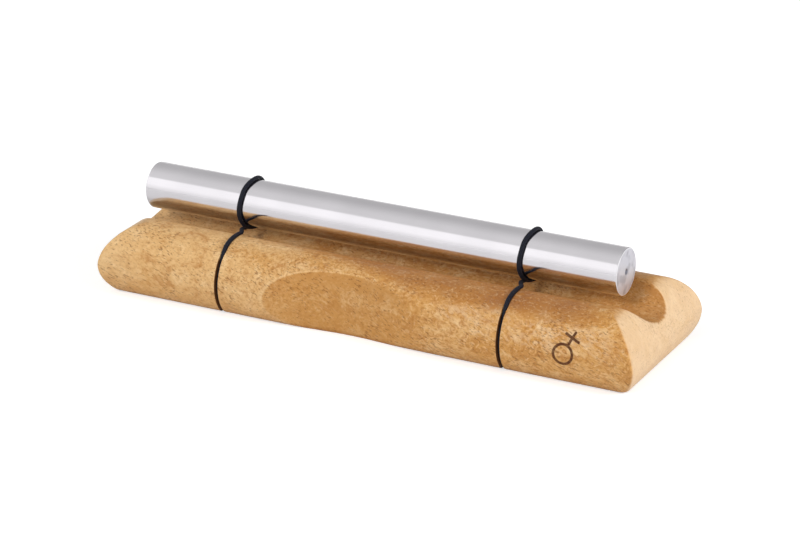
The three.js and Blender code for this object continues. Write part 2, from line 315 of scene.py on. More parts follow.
# Soft steps: where each starts and stops, and its values there if these aren't 0 and 1. Places on the
# block are in metres.
wood["steps"] = {
    "toRight": (-0.08, 0.06, 0.14, -0.12),
    "lightClouds": (0.36, 0.66),
    "paleMottle": (0.50, 0.74, 0.0, 0.85),
    "deepMottle": (0.50, 0.28, 0.0, 0.70),
    "crestStreakPlace": (-0.045, 0.040, 0.0165, 0.0300),
    "crestStreakWaver": (0.3, 0.7, -0.0014, 0.0014),
    "crestStreakAcross": (0.0032, -0.0040),
    "crestStreakStart": (-0.070, -0.03),
    "crestStreakStop": (0.112, 0.090),
    "crestStreakHeight": (0.016, 0.020),
    "crestStreakByGroove": (0.0125, 0.0165, 0.12, 1.0),
    "crestStreakClouds": (0.32, 0.58, 0.55, 0.92),
    "curly": (-0.085, -0.01, 0.35, 1.0),
    "darkCurls": (0.47, 0.66, 0.0, 0.75),
    "paleCurls": (0.45, 0.28, 0.0, 0.55),
    "curlsByCrestStreak": (0.0, 1.0, 1.0, 0.35),
    "darkStreaks": (0.52, 0.80, 0.0, 0.50),
    "deepSpeckle": (0.50, 0.70, 0.0, 0.42),
    "paleSpeckle": (0.46, 0.30, 0.0, 0.30),
    "endClouds": (0.44, 0.66, 0.0, 0.26),
    "sheenFigure": (0.40, 0.62),
    "sheenPatches": (0.35, 0.60, 0.3, 1.0),
    "sheenStart": (0.026, 0.048),
    "sheenStop": (0.122, 0.106),
    "sheenFoot": (0.0125, 0.0175),
    "sheenTop": (0.0265, 0.0225),
    "sheenOutside": (0.0235, 0.0255, 0.0, 0.52),
    "scoopEdgeFrom": (-0.030, 0.008, 0.25, 0.46),  # of an edge crisp on its left, soft on its right
    "scoopEdgeTo": (-0.030, 0.008, 0.98, 0.56),
    "scoopAlong": (-0.050, -0.008),
    "scoopTone": (0.016, 0.025, 0.42, 0.75),
    "edgeLine": (0.09, 0.01, 0.0, 0.42),
    "edgeLineAlong": (-0.014, 0.014),
    "edgeLineCurls": (0.62, 0.44, 0.35, 1.0),
    "leftEndLight": (-0.098, -0.122, 0.0, 0.40),
    "lowSideShade": (0.014, 0.003, 0.0, 0.30),
    "offEnds": (0.6, 0.0),
    "groove": (0.022, 0.0135),
    "grooveHeight": (0.008, 0.012),
    "grooveAlong": (0.098, 0.110, 0.18, 0.50),
    "fleckLine": (0.36, 0.64, 0.63, 0.54),
    "fleckShare": (0.0, 1.0, 0.62, 0.30),
    "foot": (0.0022, 0.0004, 0.0, 0.45),
    "char": (0.2, 0.7, 0.78, 1.0),
    "roughness": (0.3, 0.8, 0.38, 0.50),
    "kerfShadeSides": (0.0235, 0.0255),
    "kerfShadeUnder": (0.008, 0.006),
}

# The burnt planetary sign on the front side, in millimetres along the block and up the rounded side.
sign = {
    "centre": (94.0, 1.9),
    "radius": 4.1,
    "line": (0.744, 0.408),  # from the middle of a line, where the mark starts and is full
    "stem": ((96.2, 6.4), (98.1, 11.3)),
    "bar": ((94.35, 10.4), (100.2, 7.7)),
}


def burntSign(n, place, base):
    # How deep the sign is burnt at a place: the front side is unrolled into x and the way up along its
    # round, and the mark is dark by its distance to the circle, the stem or the bar, whichever is nearest.
    x, y, z = place
    up = n.minus(z, base["widest"] * mm)
    out = n.minus(n.times(y, -1.0), base["coreY"] * mm)
    way = n.times(n.math("ARCTAN2", up, out), base["edgeRound"])
    along = n.times(x, 1 / mm)

    def fromPoint(point):
        return n.minus(along, point[0]), n.minus(way, point[1])

    def fromSegment(start, end):
        # The distance to the nearest point of a segment, at the share of it that the place projects on.
        dx, dy = end[0] - start[0], end[1] - start[1]
        px, py = fromPoint(start)
        onLine = n.plus(n.times(px, dx), n.times(py, dy))
        share = n.math("DIVIDE", onLine, dx * dx + dy * dy, clamp=True)
        return n.distance(n.minus(px, n.times(share, dx)), n.minus(py, n.times(share, dy)))

    ring = n.absolute(n.minus(n.distance(*fromPoint(sign["centre"])), sign["radius"]))
    nearest = n.math("MINIMUM", ring, fromSegment(*sign["stem"]))
    nearest = n.math("MINIMUM", nearest, fromSegment(*sign["bar"]))
    return n.times(n.step(nearest, *sign["line"]), n.math("LESS_THAN", y, 0.0))


def makeWoodMaterial(base):
    # Light hardwood, paler to the left and more golden to the right: soft clouds, curly mottles, streaks
    # along the grain, and short dark flecks that gather in patches. To these come a dark streak along the
    # crests, a painted sheen on the right half of the sides, the ends painted paler, partly as a painted
    # highlight, painted light on the left end, a painted highlight along the scoops' upper edges, painted
    # shade in the scoops, the groove, the kerfs, on the low sides and along the foot, and the burnt sign.
    # The grain runs along X. Each tone covers the ones before it by a share from 0 to 1.
    material, n, shader = newMaterial("wood")
    place = n.objectPlace()
    x, y, z = n.parts(place)
    sideways = n.absolute(y)
    nearSide = n.times(x, n.math("SIGN", y))  # x as seen from the side on which a place lies

    def step(value, key):
        return n.step(value, *wood["steps"][key])

    def pattern(vector, key):
        stretch, *settings = wood["patterns"][key]
        return n.noise(n.stretched(vector, (stretch, 1.0, 1.0)), *settings)

    def cover(tone, share, key):
        return n.mix(share, tone, colour(*wood[key]))

    drift = n.add("TexNoise", {"Vector": place, "Scale": wood["driftScale"]}, output="Color")
    wander = n.add("VectorMath", {0: drift, 1: wood["drift"]}, operation="MULTIPLY")
    grain = n.add("VectorMath", {0: place, 1: wander}, operation="ADD")
    turned = {"Vector": grain, "Axis": (0, 1, 0), "Angle": wood["fleckDip"]}
    dipping = n.add("VectorRotate", turned)
    clouds = pattern(grain, "clouds")
    mottle = pattern(grain, "mottle")
    curls = pattern(grain, "curls")
    streaks = pattern(grain, "streaks")
    flecks = pattern(dipping, "flecks")
    speckle = pattern(dipping, "speckle")
    patches = pattern(place, "patches")
    scoopEdge = n.attribute("scoopEdge")
    endShare = n.attribute("endGrain")
    offEnds = step(endShare, "offEnds")

    inScoop = n.step(scoopEdge, step(nearSide, "scoopEdgeFrom"), step(nearSide, "scoopEdgeTo"))
    inScoop = n.times(inScoop, step(nearSide, "scoopAlong"))
    # Inside the scoops the clouds turn darker: painted shade.
    toRight = n.minus(step(x, "toRight"), n.times(inScoop, wood["scoopShade"]))
    tone = cover(colour(*wood["golden"]), step(n.plus(clouds, toRight), "lightClouds"), "light")
    tone = cover(tone, step(mottle, "paleMottle"), "pale")
    tone = cover(tone, step(mottle, "deepMottle"), "deep")

    # A darker streak along the crests, right of the middle, wavering with the mottle and kept off the
    # groove.
    crestStreakEdge = n.plus(step(x, "crestStreakPlace"), step(mottle, "crestStreakWaver"))
    crestStreak = n.times(step(x, "crestStreakStart"), step(x, "crestStreakStop"), step(z, "crestStreakHeight"))
    crestStreak = n.times(crestStreak, step(n.minus(sideways, crestStreakEdge), "crestStreakAcross"))
    crestStreak = n.times(crestStreak, step(sideways, "crestStreakByGroove"), step(clouds, "crestStreakClouds"))
    tone = cover(tone, crestStreak, "crestStreak")
    curly = step(x, "curly")
    tone = cover(tone, n.times(step(curls, "darkCurls"), curly), "deep")
    tone = cover(tone, n.times(step(curls, "paleCurls"), curly, step(crestStreak, "curlsByCrestStreak")), "pale")
    tone = cover(tone, step(streaks, "darkStreaks"), "deep")
    tone = cover(tone, step(speckle, "deepSpeckle"), "deep")
    tone = cover(tone, step(speckle, "paleSpeckle"), "pale")
    # The ends turn paler and less saturated: partly their end grain's own tone, partly a painted highlight
    # of the bright light on them.
    tone = cover(tone, n.times(endShare, wood["endShare"]), "endTone")
    tone = cover(tone, n.times(endShare, step(pattern(place, "endClouds"), "endClouds")), "light")

    # Painted highlight: pale, whitish streaks on the right half of both sides, standing in for the
    # lacquer's sheen.
    sheen = n.times(step(pattern(dipping, "sheen"), "sheenFigure"), step(patches, "sheenPatches"))
    sheen = n.times(sheen, step(x, "sheenStart"), step(x, "sheenStop"), step(sideways, "sheenOutside"))
    tone = cover(tone, n.times(sheen, step(z, "sheenFoot"), step(z, "sheenTop")), "sheen")
    # Painted shade: the scoops turn darker and more golden, most near their top edge, where their faces
    # turn away from the light.
    tone = cover(tone, n.times(inScoop, step(z, "scoopTone")), "scoop")
    # Painted highlight: a thin pale line along the scoops' upper edges, where the crease catches the light.
    edgeLine = step(n.absolute(n.minus(scoopEdge, wood["scoopEdgeLine"])), "edgeLine")
    edgeLine = n.times(edgeLine, step(nearSide, "edgeLineAlong"), step(curls, "edgeLineCurls"))
    tone = cover(tone, edgeLine, "pale")
    # Painted light: the left end turns paler, standing in for the light that falls on it.
    tone = cover(tone, step(x, "leftEndLight"), "pale")
    # Painted shade: the low parts of the sides turn more golden, standing in for the sheen that only the
    # upper sides catch.
    tone = cover(tone, n.times(step(z, "lowSideShade"), offEnds), "golden")
    # Painted shade: the groove's inside turns darker brown, more so past the rod's right end.
    grooveShade = n.times(step(sideways, "groove"), step(z, "grooveHeight"), step(x, "grooveAlong"), offEnds)
    tone = cover(tone, grooveShade, "groove")

    fleck = n.minus(flecks, step(patches, "fleckLine"))
    fleck = n.math("MULTIPLY", fleck, wood["fleckContrast"], clamp=True)
    tone = cover(tone, n.times(fleck, step(endShare, "fleckShare")), "pore")
    # Painted shade: a thin band along the foot, about 2 mm high, takes the dark streak's tone where the
    # block meets the floor.
    tone = cover(tone, step(z, "foot"), "crestStreak")
    burn = burntSign(n, (x, y, z), base)
    char = n.times(burn, step(pattern(place, "char"), "char"))
    tone = cover(tone, char, "burn")
    # Painted shade: the kerfs' walls and a thin rim past them turn dark brown, on the sides and underneath.
    fromKerf = n.absolute(n.minus(n.absolute(x), base["kerfPlaces"][1] * mm))
    kerfShade = n.step(fromKerf, *[(base["kerfWidth"] / 2 + past) * mm for past in wood["kerfShadeEdge"]])
    outside = n.math("MAXIMUM", step(sideways, "kerfShadeSides"), step(z, "kerfShadeUnder"))
    tone = cover(tone, n.times(kerfShade, outside), "kerfShade")

    rough = n.plus(step(streaks, "roughness"), n.times(char, wood["charRoughness"]))
    relief = n.minus(n.times(streaks, wood["streakRelief"]), n.times(fleck, wood["fleckRelief"]))
    relief = n.minus(relief, n.times(burn, wood["burnRelief"]))
    n.fill(shader, {"Base Color": tone, "Roughness": rough, "Specular IOR Level": wood["reflection"],
                    "Normal": n.bump(relief, *wood["bump"])})
    return material


# Wooden base: a block with turned-over sides and ends, a groove, hand scoops, and kerfs with eased mouths

low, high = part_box("wooden_base")
rodLow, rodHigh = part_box("chime_rod")

rodPlace = {
    "radius": (rodHigh.z - rodLow.z) / mm / 2,
    "height": (rodHigh.z + rodLow.z) / mm / 2,
    "from": rodLow.x / mm,
    "to": rodHigh.x / mm,
}

base = {
    "length": (high.x - low.x) / mm,
    "width": (high.y - low.y) / mm,
    "height": high.z / mm,
    "edgeRound": 17.3,
    "footEase": 1.0,
    "hipRadius": 0.9,
    "footCornerRadius": 3.0,
    "endLean": 1.5,  # how far the ends lean in at the top, over what the sides do
    "leanHeight": 12.0,  # over the widest level, where that lean is reached
    "grooveRadius": 15.9,
    "floorGap": 8.1,  # between the rod and the groove's floor
    "crestRadius": 4.0,
    "mouthEase": 0.5,
    "mouthAlong": (-2, 4),  # past the core, where the groove's mouths take their ease
    "scoopShift": -5.0,
    "scoopDepth": 5.3,
    "scoopDrumRadius": 141.0,
    "scoopTopRadius": 30.0,  # of the belly's section over its fullest height, and under it
    "scoopFootRadius": 61.0,
    "scoopFullest": 15.0,
    "scoopBelly": 25.0,  # over and under that height, within which the section is round
    "scoopEase": 0.4,
    "scoopFade": 5.0,  # the scoop's far end runs out this softly
    "scoopFadeAlong": (10, 50),
    "kerfPlaces": (-65.4, 65.4),
    "kerfWidth": 1.6,
    "kerfDepth": 3.4,
    "kerfCornerEase": 2.2,  # of the kerf's floor where it turns in under the block
    "kerfEase": 0.16,
    "kerfShallow": 34.0,  # degrees up the side at which the kerf starts to run out
    "kerfEnd": 66.0,
    "seatClearance": 0.1,
    "seatEase": 0.3,
    "spineHeight": 5.0,  # the rays that find the surface start near this line inside the block
    "spineReach": 14.0,
    "halvings": 36,
    "around": 232,
    "plainPlace": 52.0,  # where no scoop or kerf cuts the section
    "crowding": 0.9,  # how much closer the points stand on the crests, and how far from them
    "crowdingReach": 3.5,
    "endSteps": 26,
    "creaseSearch": 88.0,  # degrees of tilt up to which the crease between side and end is looked for
    "leastCrease": 11.0,
    "steepestTilt": 88.5,
    "evenTilts": 0.45,  # share of even steps among the ends' tilts
    "step": 1.35,
    "hair": 0.002,  # between the two points on both sides of a saw wall
    "endGrainEdge": (-0.3, 0.8),  # where the sides' wood turns into the ends'
    "endGrainReach": (3, 9),
    "endGrainSkin": (-0.4, -0.05),
    "scoopEdgeSpan": 4.0,
}

base["widest"] = base["height"] - base["edgeRound"]
base["coreX"] = base["length"] / 2 - base["edgeRound"]
base["coreY"] = base["width"] / 2 - base["edgeRound"]
base["crestZ"] = base["height"] - base["crestRadius"]
base["grooveCentre"] = rodPlace["height"] - rodPlace["radius"] - base["floorGap"] + base["grooveRadius"]
base["crestY"] = math.sqrt((base["grooveRadius"] + base["crestRadius"]) ** 2
                           - (base["grooveCentre"] - base["crestZ"]) ** 2)

# Cords: each is one ring that lies in its kerf round the block and makes a full turn round the rod

cord = {
    "width": 1.95,
    "height": 1.6,
    "kerfWidth": 1.5,  # squeezed in the kerf
    "kerfHeight": 2.2,
    "rise": 0.5,  # of the cord's middle over the wood of a crest
    "wrapGap": 0.02,
    "lean": 1.8,  # unit of the leans below: pairs of a share of the way and the lean along X there
    "frontLeans": [(0, 0), (0.1, 0), (0.66, -1.8), (1, -1.8)],
    "turnLeans": [(0, -1.8), (0.16, -1.8), (0.5, -0.55), (0.63, -1.15), (0.76, -1.5), (0.9, -1.2),
                  (1, -0.45)],
    "backLeans": [(0, -0.45), (0.84, 0), (1, 0)],
    "cornerPoints": 23,  # over which the corners under the block are rounded
    "cornerHeights": (7, 4),  # between which that sets in
    "sides": 40,
    "step": 0.14,
    "strands": 6,  # in each direction of the braid
    "pitch": 6.0,  # along the cord for one turn of a strand
    "crossing": 3.0,  # how sharply a strand dips under the next
    "relief": 0.09,
    "valleyShade": (6, 6, 9),
    "strandTone": (24, 27, 40),
    "fibreTone": (44, 48, 66),
    "finish": {"Roughness": 0.62, "Specular IOR Level": 0.25, "Sheen Weight": 0.05, "Sheen Roughness": 0.4},
    "bump": (0.5, 0.05),
    "fibreStretch": (1.2, 46.0, 1.0),
    "fibreNoise": (9.0, 3.0, 0.6),
    "fibreShare": (0.45, 0.8, 0.0, 0.35),
    "ridgeShare": (0.35, 0.95),
}

wrapRadius = rodPlace["radius"] + cord["height"] / 2 + cord["wrapGap"]
crestPath = base["crestRadius"] + cord["rise"]
spanRise = rodPlace["height"] - base["crestZ"]
spanSlope = (math.atan2(spanRise, base["crestY"])
             - math.asin((crestPath + wrapRadius) / math.hypot(spanRise, base["crestY"])))
leaveAngle = math.pi / 2 - spanSlope


def endReach(x, z):
    # How far a point lies beyond the core rectangle at its nearer end. The lean grows evenly from the
    # widest level.
    lean = np.clip((z - base["widest"]) / base["leanHeight"], 0, 1) * base["endLean"]
    return np.abs(x) - base["coreX"] + lean


def pillowField(x, y, z):
    # Distance outside the bare block. How far the point lies beyond the core rectangle, with round corners
    # that widen towards the foot, and its height over the widest level make one circle: the turned-over
    # edge.
    tuck = np.clip((base["widest"] - z) / base["widest"], 0, None)
    corner = base["hipRadius"] + (base["footCornerRadius"] - base["hipRadius"]) * tuck ** 2
    reach = smoothMax(endReach(x, z), np.abs(y) - base["coreY"], corner)
    body = np.hypot(np.maximum(reach, 0), z - base["widest"]) - base["edgeRound"]
    return smoothMax(body, -z, base["footEase"])


def grooveField(y, z):
    # Positive in the air of the groove: inside its circle, and over the crests, whose circles touch the
    # groove's circle from outside and the flat top from below.
    fromCrest = (np.abs(y) - base["crestY"], z - base["crestZ"])
    span = base["grooveRadius"] + base["crestRadius"]
    toGroove = (-base["crestY"] / span, (base["grooveCentre"] - base["crestZ"]) / span)
    past = toGroove[0] * fromCrest[1] - toGroove[1] * fromCrest[0] > 0
    inner = np.where(past, base["grooveRadius"] - np.hypot(y, z - base["grooveCentre"]),
                     np.hypot(*fromCrest) - base["crestRadius"])
    return np.where(fromCrest[0] > 0, z - base["height"], inner)


def scoopField(x, y, z):
    # Positive inside the upright drum that cuts a scoop. The drum's radius grows away from the fullest
    # height by the sagitta of the section's circle.
    axis = base["width"] / 2 - base["scoopDepth"] + base["scoopDrumRadius"]
    across = np.clip(z - base["scoopFullest"], -base["scoopBelly"], base["scoopBelly"])
    section = np.where(across > 0, base["scoopTopRadius"], base["scoopFootRadius"])
    fall = section - np.sqrt(section ** 2 - across ** 2)
    return base["scoopDrumRadius"] + fall - np.hypot(x - base["scoopShift"], np.abs(y) - axis)


def upTheSide(y, z):
    # For a place on a kerf's way: how far out it lies from the core, the angle up the turned-over side in
    # degrees, and the share by which the kerf has run out there.
    out = np.abs(y) - base["coreY"]
    angle = np.degrees(np.arctan2(z - base["widest"], np.maximum(out, 0)))
    return out, angle, smoothStep(angle, base["kerfShallow"], base["kerfEnd"])


def kerfField(x, y, z):
    # Positive in the air of a kerf: within half its width of its plane, and outside what is left of the
    # section, which is smaller by the kerf's depth and grows over the surface where the kerf runs out.
    out, _, free = upTheSide(y, z)
    depth = base["kerfDepth"] * (1 - free) - cord["rise"] * free
    core = np.hypot(np.maximum(out, 0), z - base["widest"]) - (base["edgeRound"] - depth)
    core = smoothMax(core, base["kerfDepth"] - z, base["kerfCornerEase"])
    return np.minimum(base["kerfWidth"] / 2 - np.abs(x), core)


def cordHalves(free):
    # Half the cord's width and height: squeezed in the kerf, and its own where it is free.
    return ((cord["kerfWidth"] * (1 - free) + cord["width"] * free) / 2,
            (cord["kerfHeight"] * (1 - free) + cord["height"] * free) / 2)


def seatField(x, y, z):
    # Positive in the eased mouth of a kerf, an elliptical channel along the cord's way over the crest.
    out, angle, free = upTheSide(y, z)
    depth = (base["kerfDepth"] - cord["kerfHeight"] / 2) * (1 - free) - cord["rise"] * free
    side = np.hypot(out, z - base["widest"]) - (base["edgeRound"] - depth)
    fromCrest = (np.abs(y) - base["crestY"], z - base["crestZ"])
    leave = (math.cos(leaveAngle), math.sin(leaveAngle))
    beyond = leave[0] * fromCrest[1] - leave[1] * fromCrest[0] > 0
    crest = np.where(beyond, leave[0] * fromCrest[0] + leave[1] * fromCrest[1], np.hypot(*fromCrest))
    flat = z - base["height"] - cord["rise"]
    height = np.where(out > 0, side, np.where(fromCrest[0] > 0, flat, crest - crestPath))
    halfWidth, halfHeight = (half + base["seatClearance"] for half in cordHalves(free))
    channel = (1 - np.hypot(x / halfWidth, height / halfHeight)) * halfWidth
    return np.where((angle > base["kerfShallow"]) & (z > base["widest"]), channel, -base["width"])


def woodField(x, y, z):
    # Negative in the wood: the block less its groove, scoops, seats and kerfs, each edge eased by its own
    # radius.
    mouthFrom, mouthTo = (base["coreX"] + past for past in base["mouthAlong"])
    mouthEase = base["mouthEase"] * smoothStep(np.abs(x), mouthFrom, mouthTo)
    field = smoothMax(pillowField(x, y, z), grooveField(y, z), mouthEase)
    fade = smoothStep(-x * np.sign(y), *base["scoopFadeAlong"])
    scoopEase = base["scoopEase"] + (base["scoopFade"] - base["scoopEase"]) * fade
    field = smoothMax(field, scoopField(x, y, z), scoopEase)
    for kerf in base["kerfPlaces"]:
        field = smoothMax(field, seatField(x - kerf, y, z), base["seatEase"])
        field = smoothMax(field, kerfField(x - kerf, y, z), base["kerfEase"])
    return field


def followRays(origin, direction):
    # Each ray starts inside the wood. Halving the stretch where the field changes sign finds the surface.
    near = np.zeros(origin.shape[:-1])
    far = np.full(origin.shape[:-1], base["length"])
    for _ in range(base["halvings"]):
        middle = (near + far) / 2
        point = origin + direction * middle[..., None]
        inside = woodField(*np.moveaxis(point, -1, 0)) < 0
        near = np.where(inside, middle, near)
        far = np.where(inside, far, middle)
    return origin + direction * near[..., None]


def sectionRays(places, tilts, angles):
    # Rays from near the spine: the angle turns round X and the tilt leans the ray towards the near end.
    # The start lies off the spine by the cosines of both, so that the rays fan out less steeply under the
    # crests.
    sideways = np.cos(tilts) * np.cos(angles)
    direction = np.stack([np.sin(tilts) + 0 * angles, sideways, np.cos(tilts) * np.sin(angles)], -1)
    origin = np.zeros_like(direction)
    origin[..., 0] = places
    origin[..., 1] = base["spineReach"] * sideways
    origin[..., 2] = base["spineHeight"]
    return origin, direction


def evenAngles():
    # Angles whose rays meet the block's section at even distances along its outline, closer on the crests.
    fine = np.linspace(0, 2 * math.pi, 6001) - math.pi / 2
    outline = followRays(*sectionRays(base["plainPlace"], np.zeros(1), fine))
    lengths = np.linalg.norm(np.diff(outline, axis=0), axis=1)
    middle = (outline[1:] + outline[:-1]) / 2
    fromCrest = (np.abs(middle[:, 1]) - base["crestY"]) / base["crowdingReach"]
    nearCrest = np.exp(-fromCrest ** 2) * (middle[:, 2] > base["widest"])
    way = np.concatenate([[0], np.cumsum(lengths * (1 + base["crowding"] * nearCrest))])
    return np.interp(np.linspace(0, way[-1], base["around"], endpoint=False), way, fine)


def endTilts(angles):
    # For each angle, the tilt of the ray that meets the crease between side and end, smoothed over five
    # neighbours. The tilts close up there, and the last one is near the steepest.
    fine = np.linspace(0, math.radians(base["creaseSearch"]), 120)[:, None]
    x, y, z = np.moveaxis(followRays(*sectionRays(base["coreX"], fine, angles[None, :])), -1, 0)
    beyond = endReach(x, z) > np.abs(y) - base["coreY"]
    crease = np.maximum(fine[np.argmax(beyond, 0), 0], math.radians(base["leastCrease"]))
    window = np.array([1, 2, 3, 2, 1]) / 9
    crease = np.convolve(np.concatenate([crease[-2:], crease, crease[:2]]), window, mode="valid")
    share = np.linspace(0, 1, base["endSteps"] + 1)[1:, None]
    even = base["evenTilts"] * share
    quarter = share * math.pi / 2
    before = crease * (even + (1 - base["evenTilts"]) * np.sin(quarter))
    rest = math.radians(base["steepestTilt"]) - crease
    after = crease + rest * (even + (1 - base["evenTilts"]) * (1 - np.cos(quarter)))
    return np.concatenate([before, after])


def stationPlaces():
    # Places along X: even steps, with fine ones through each kerf and a pair on both sides of each wall.
    wall = base["kerfWidth"] / 2
    nearKerf = np.concatenate([
        np.linspace(0, wall - 0.05, 5), [wall - base["hair"], wall + base["hair"]],
        wall + base["kerfEase"] * np.array([0.3, 0.62, 1.02]),
        np.linspace(wall + 0.28, 1.75, 9), [1.95, 2.2, 2.6, 3.2],
    ])
    nearKerf = np.concatenate([-nearKerf[:0:-1], nearKerf])
    reach = nearKerf[-1] + base["step"] * 0.6
    even = np.linspace(-base["coreX"], base["coreX"], int(2 * base["coreX"] / base["step"]))
    for kerf in base["kerfPlaces"]:
        even = np.concatenate([even[np.abs(even - kerf) > reach], kerf + nearKerf])
    return np.sort(even)


def makeBase(material):
    # One ring of rays for each place along the block, and tilted rings from the first and last place over
    # the ends. Two attributes tell the wood where it is: how far into an end, and how far into a scoop, by
    # the difference of the two fields, which makes a half at the scoop's edge.
    places = stationPlaces()
    angles = evenAngles()
    tilts = endTilts(angles)
    level = np.zeros((len(places), len(angles)))
    tilts = np.concatenate([-tilts[::-1], level, tilts])
    ends = np.full(2 * base["endSteps"], places[-1])
    places = np.concatenate([-ends, places, ends])[:, None]
    rings = followRays(*sectionRays(places, tilts, angles[None, :]))
    x, y, z = np.moveaxis(rings, -1, 0)
    skin = pillowField(x, y, z)
    beyond = endReach(x, z)
    endShare = smoothStep(beyond - (np.abs(y) - base["coreY"]), *base["endGrainEdge"])
    endShare *= smoothStep(beyond, *base["endGrainReach"]) * smoothStep(skin, *base["endGrainSkin"])
    intoScoop = np.clip(0.5 + (scoopField(x, y, z) - skin) / base["scoopEdgeSpan"], 0, 1)
    piece = meshFromRings("base_block", rings, material, "base",
                          attributes={"endGrain": endShare, "scoopEdge": intoScoop})
    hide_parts("wooden_base")


makeBase(makeWoodMaterial(base))
print("base made")


# Rod

rod = {
    "bevel": 0.5,
    "pipRadius": 1.3,  # the small centre mark that turning leaves
    "pipDepth": 0.9,
    "pipTone": (132, 132, 142),
    "pipEdge": (1.15, 0.9),  # in radii of the mark, where its tone starts and is full
    "around": 160,
    "tone": (231, 228, 232),
    "smearTone": (226, 223, 227),
    "endTone": (222, 221, 229),
    "dullTone": (170, 169, 178),  # patches on the faced ends
    "rimHighlight": (244, 244, 248),
    "roughness": 0.09,  # the least, to which hairlines and smears add
    "hairRoughness": 0.05,
    "smearRoughness": 0.04,
    "hairStretch": (6.0, 900.0, 900.0),
    "hairNoise": (3.0, 3.0, 0.6),  # scale, detail and roughness
    "hairBump": (0.06, 0.02),
    "smearNoise": (45.0, 3.0),
    "endRoughness": (0.33, 0.43),
    "endMetallic": 0.7,
    "endRings": 22000.0,  # radians of the turning rings' wave over one metre
    "ringBump": (0.15, 0.01),
    "dullNoise": (170.0, 2.0),
    "dullPatches": (0.47, 0.64, 0.0, 0.6),
    "rimFade": 0.2,
    "endSlope": 0.72,  # faces whose normal has more than this along X belong to the ends
}


def makeMetalMaterial():
    # Polished metal with faint hairlines along the rod, and a soft unevenness in its gloss.
    material, n, shader = newMaterial("polished_metal")
    place = n.objectPlace()
    hairs = n.noise(n.stretched(place, rod["hairStretch"]), *rod["hairNoise"])
    smears = n.noise(place, *rod["smearNoise"])
    tone = n.mix(n.step(smears, 0.3, 0.7), colour(*rod["tone"]), colour(*rod["smearTone"]))
    rough = n.plus(n.step(hairs, 0.3, 0.7, 0.0, rod["hairRoughness"]),
                   n.step(smears, 0.35, 0.7, 0.0, rod["smearRoughness"]))
    n.fill(shader, {"Base Color": tone, "Roughness": n.plus(rough, rod["roughness"]), "Metallic": 1.0,
                    "Normal": n.bump(hairs, *rod["hairBump"])})
    return material


def makeTurnedMaterial():
    # A faced end: fine rings round the rod's axis, worked out from the distance to it, with dull patches
    # and a painted highlight on the bevel.
    material, n, shader = newMaterial("turned_end")
    place = n.objectPlace()
    y, z = n.parts(place)[1:]
    fromAxis = n.distance(y, n.minus(z, rodPlace["height"] * mm))
    rings = n.math("SINE", n.times(fromAxis, rod["endRings"]))
    dull = n.step(n.noise(place, *rod["dullNoise"]), *rod["dullPatches"])
    tone = n.mix(dull, colour(*rod["endTone"]), colour(*rod["dullTone"]))
    rim = rodPlace["radius"] - rod["bevel"]
    # Painted highlight: the bevel round the face turns bright.
    isRim = n.step(fromAxis, (rim - rod["rimFade"]) * mm, rim * mm)
    tone = n.mix(isRim, tone, colour(*rod["rimHighlight"]))
    isPip = n.step(fromAxis, *[rod["pipRadius"] * edge * mm for edge in rod["pipEdge"]])
    tone = n.mix(isPip, tone, colour(*rod["pipTone"]))
    rough = n.step(rings, -1.0, 1.0, *rod["endRoughness"])
    n.fill(shader, {"Base Color": tone, "Roughness": rough, "Metallic": rod["endMetallic"],
                    "Normal": n.bump(rings, *rod["ringBump"])})
    return material


def makeRod():
    # A profile of radius against x, turned about the rod's axis: a bevelled bar with a pip in each end.
    half = (rodPlace["to"] - rodPlace["from"]) / 2
    middle = (rodPlace["to"] + rodPlace["from"]) / 2
    radius = rodPlace["radius"]
    bevel = rod["bevel"]
    turn = np.linspace(0, math.pi / 2, 6)
    pip = np.array([[half - rod["pipDepth"], 0.02], [half - 0.06, rod["pipRadius"] * 0.86],
                    [half, rod["pipRadius"]], [half, rod["pipRadius"] + 0.1]])
    face = np.stack([np.full(5, half), np.linspace(2.5, radius - bevel - 0.05, 5)], -1)
    edge = np.stack([half - bevel * (1 - np.cos(turn)), radius - bevel * (1 - np.sin(turn))], -1)
    side = np.stack([np.linspace(half - bevel - 0.4, 0, 14), np.full(14, radius)], -1)
    right = np.concatenate([pip, face, edge, side])
    profile = np.concatenate([right * (-1, 1), right[-2::-1]])
    angle = circleAngles(rod["around"])
    x = middle + profile[:, 0][:, None] + 0 * angle
    y = profile[:, 1][:, None] * np.cos(angle)
    z = rodPlace["height"] + profile[:, 1][:, None] * np.sin(angle)
    piece = meshFromRings("rod_bar", np.stack([x, y, z], -1), makeMetalMaterial(), "rod")
    piece.data.materials.append(makeTurnedMaterial())
    normals = np.zeros(len(piece.data.polygons) * 3, np.float32)
    piece.data.polygons.foreach_get("normal", normals)
    isEnd = np.abs(normals.reshape(-1, 3)[:, 0]) > rod["endSlope"]
    piece.data.polygons.foreach_set("material_index", isEnd.astype(np.int32))
    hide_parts("chime_rod")


makeRod()
print("rod made")


# Cords

def leanAt(table, share):
    # The lean between two neighbouring pairs of the table runs as a smooth step.
    shares, leans = np.array(table).T
    i = np.clip(np.searchsorted(shares, share, side="right") - 1, 0, len(shares) - 2)
    blend = smoothStep(share, shares[i], shares[i + 1])
    return cord["lean"] * (leans[i] * (1 - blend) + leans[i + 1] * blend)


def sampled(length):
    # Even shares from 0 to 1 of a way, one for each step of the cord.
    return np.linspace(0, 1, max(3, int(length / cord["step"])))


